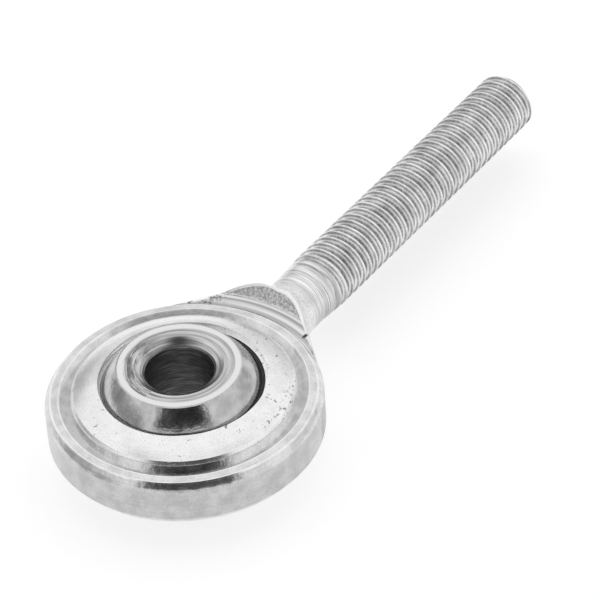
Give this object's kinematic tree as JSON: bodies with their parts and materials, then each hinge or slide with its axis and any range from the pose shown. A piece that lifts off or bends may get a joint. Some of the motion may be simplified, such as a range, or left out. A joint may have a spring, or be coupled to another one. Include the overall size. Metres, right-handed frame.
{
  "type": "rod end bearing",
  "caption": "Male rod end bearing: a threaded steel shank carries an eye whose spherical ball swivels on a bolt.",
  "frame": {"origin": "centre of the ball, on the axis of its bore", "axes": "+Z along the bore, +X along the threaded shank towards its tip"},
  "size_m": [0.0529, 0.02, 0.009],
  "materials": {
    "plated_steel": "zinc plated, turned and forged",
    "turned_steel": "fine turned, satin",
    "liner": "woven self-lubricating lining",
    "chromed_steel": "hard chromed and polished"
  },
  "bodies": {
    "housing": {"rod_end_body": "plated_steel", "outer_race": "turned_steel"},
    "liner": {"sliding_liner": "liner"},
    "swivel_ball": {"ball": "chromed_steel"}
  },
  "joints": [
    {"name": "ball_turn", "type": "hinge", "parent": "housing", "child": "liner", "pos_m": [0, 0, 0], "axis": [0, 0, 1], "continuous": true},
    {"name": "ball_tilt", "type": "hinge", "parent": "liner", "child": "swivel_ball", "pos_m": [0, 0, 0], "axis": [1, 0, 0], "range_deg": [-13, 13]}
  ]
}
